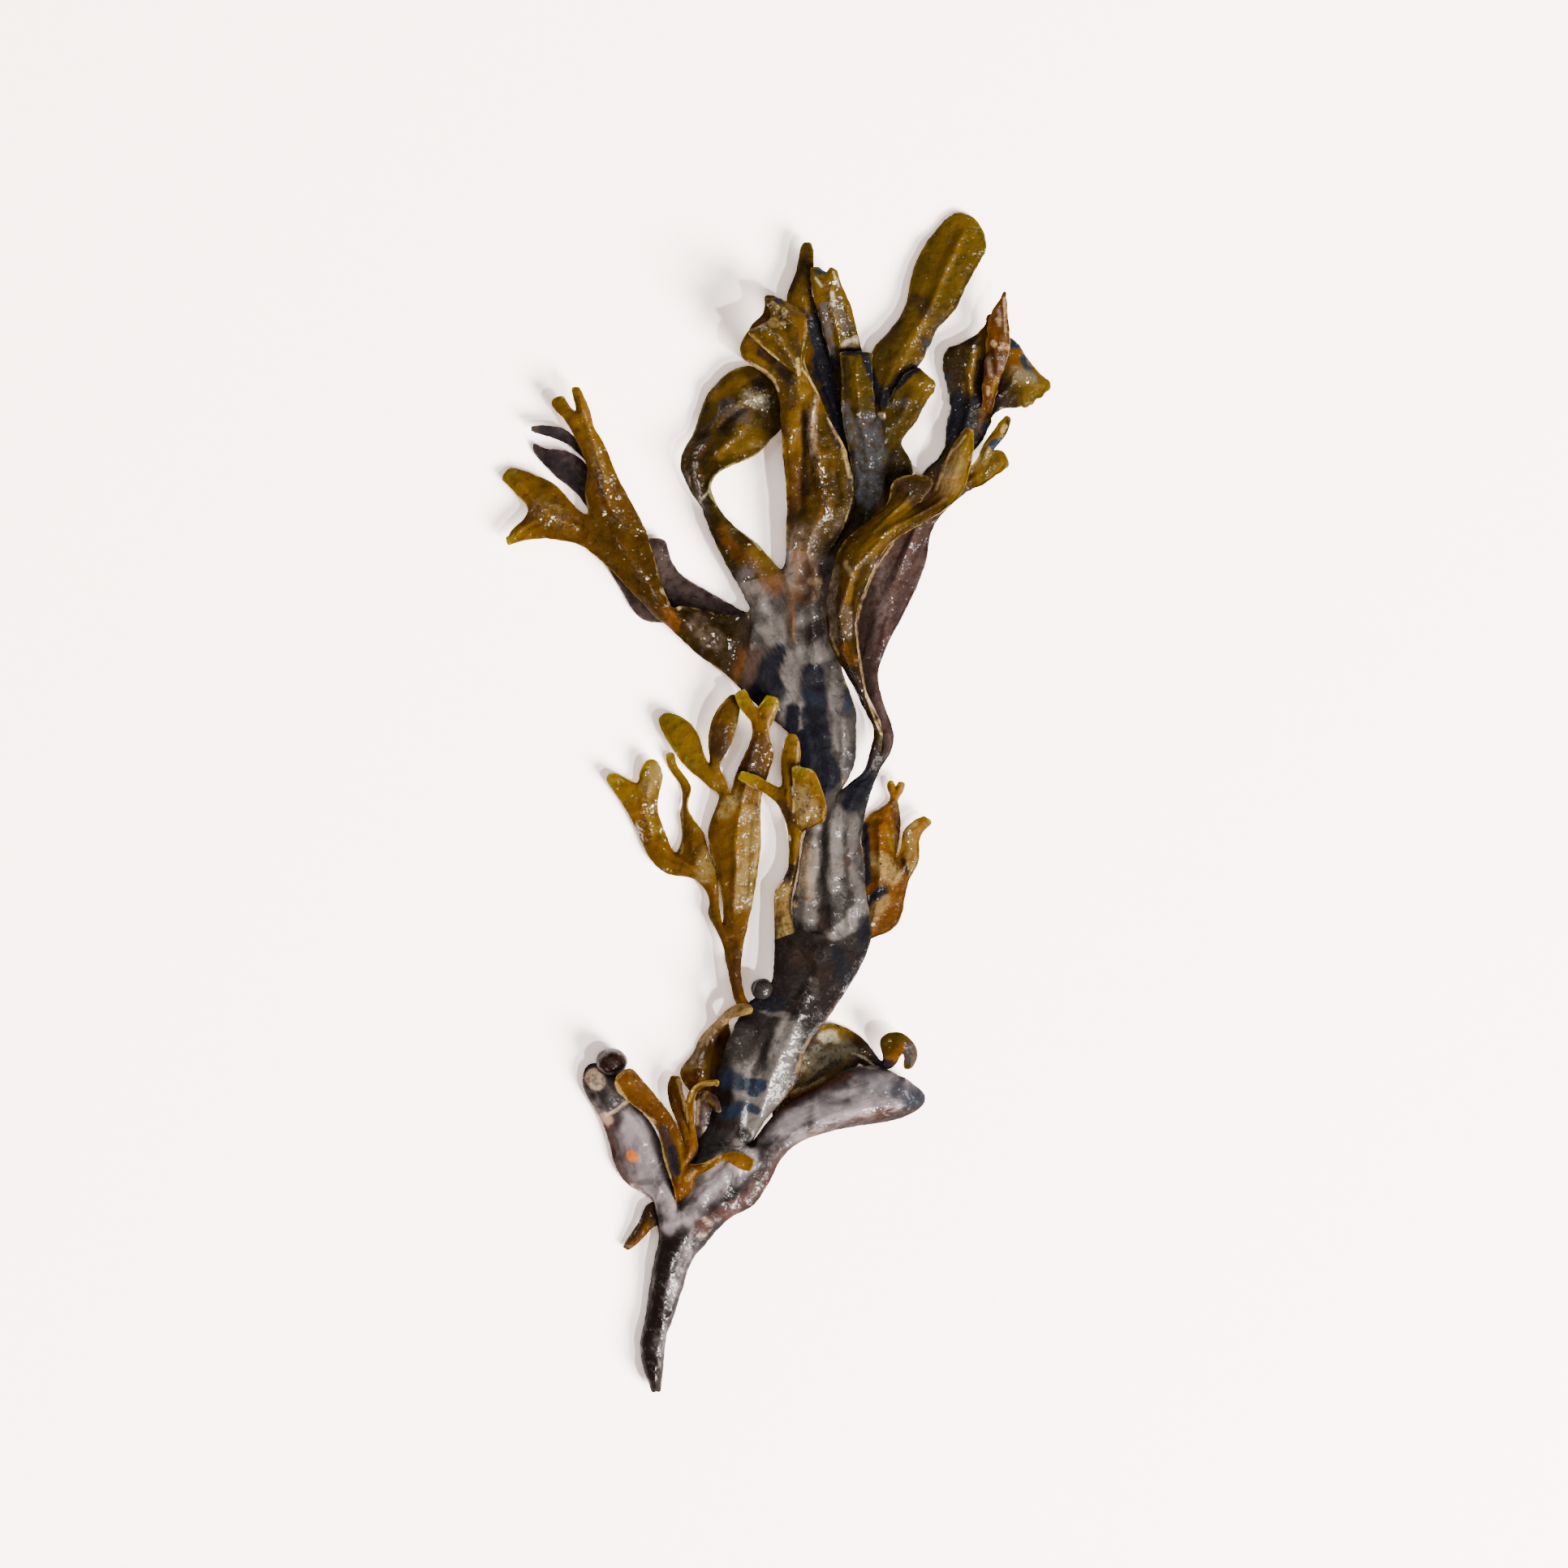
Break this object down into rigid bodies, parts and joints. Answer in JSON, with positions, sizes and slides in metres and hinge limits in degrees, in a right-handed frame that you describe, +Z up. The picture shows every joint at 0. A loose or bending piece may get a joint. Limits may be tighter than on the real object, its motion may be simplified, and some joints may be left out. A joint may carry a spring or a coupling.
{
  "type": "seaweed",
  "caption": "Cut bladderwrack lying flat: a stalk that forks into a broad strap, side branches, a bladder, and many thin forked fronds.",
  "frame": {"origin": "centre of the outline as seen from above, at the surface the plant lies on", "axes": "+Z up, away from the surface; +Y from the foot of the stalk to the crown; +X to the right seen from above with the crown at the top"},
  "size_m": [0.1344, 0.2898, 0.0141],
  "materials": {
    "stalk_flesh": "wet dark fleshy seaweed with a grey bloom",
    "strap_flesh": "wet grey-brown seaweed strap, near black in places",
    "gold_frond": "wet golden-brown seaweed, slightly see-through",
    "brown_frond": "wet amber-brown seaweed",
    "olive_frond": "wet olive-gold seaweed",
    "smoke_frond": "wet grey-brown seaweed in shade",
    "copper_frond": "wet copper-coloured seaweed"
  },
  "bodies": {
    "root": {"stipe": "stalk_flesh", "spur": "brown_frond", "lower_left_branch": "stalk_flesh", "lower_right_branch": "stalk_flesh", "young_shoots": "gold_frond", "curled_leaflet": "smoke_frond", "lower_left_leaf": "gold_frond", "lower_right_leaf": "olive_frond", "strap_lower": "stalk_flesh", "strap_middle": "strap_flesh", "strap_upper": "strap_flesh", "right_arm": "stalk_flesh", "right_front_ribbon": "brown_frond", "right_back_frond": "smoke_frond", "right_cluster": "olive_frond", "right_leaf": "gold_frond", "copper_strip": "copper_frond", "left_branch": "brown_frond", "left_west_blade": "gold_frond", "left_fingers": "gold_frond", "back_left_frond": "smoke_frond", "upper_left_frond": "olive_frond", "central_frond": "brown_frond", "curled_tip": "gold_frond", "wide_frond": "olive_frond", "tall_lobe": "olive_frond", "small_lobe": "olive_frond", "top_middle_frond": "olive_frond", "top_spike": "olive_frond", "mid_left_branch": "gold_frond", "mid_left_outer": "gold_frond", "mid_left_crown": "gold_frond", "mid_centre_branch": "gold_frond", "mid_right_branch": "gold_frond"}
  },
  "joints": []
}
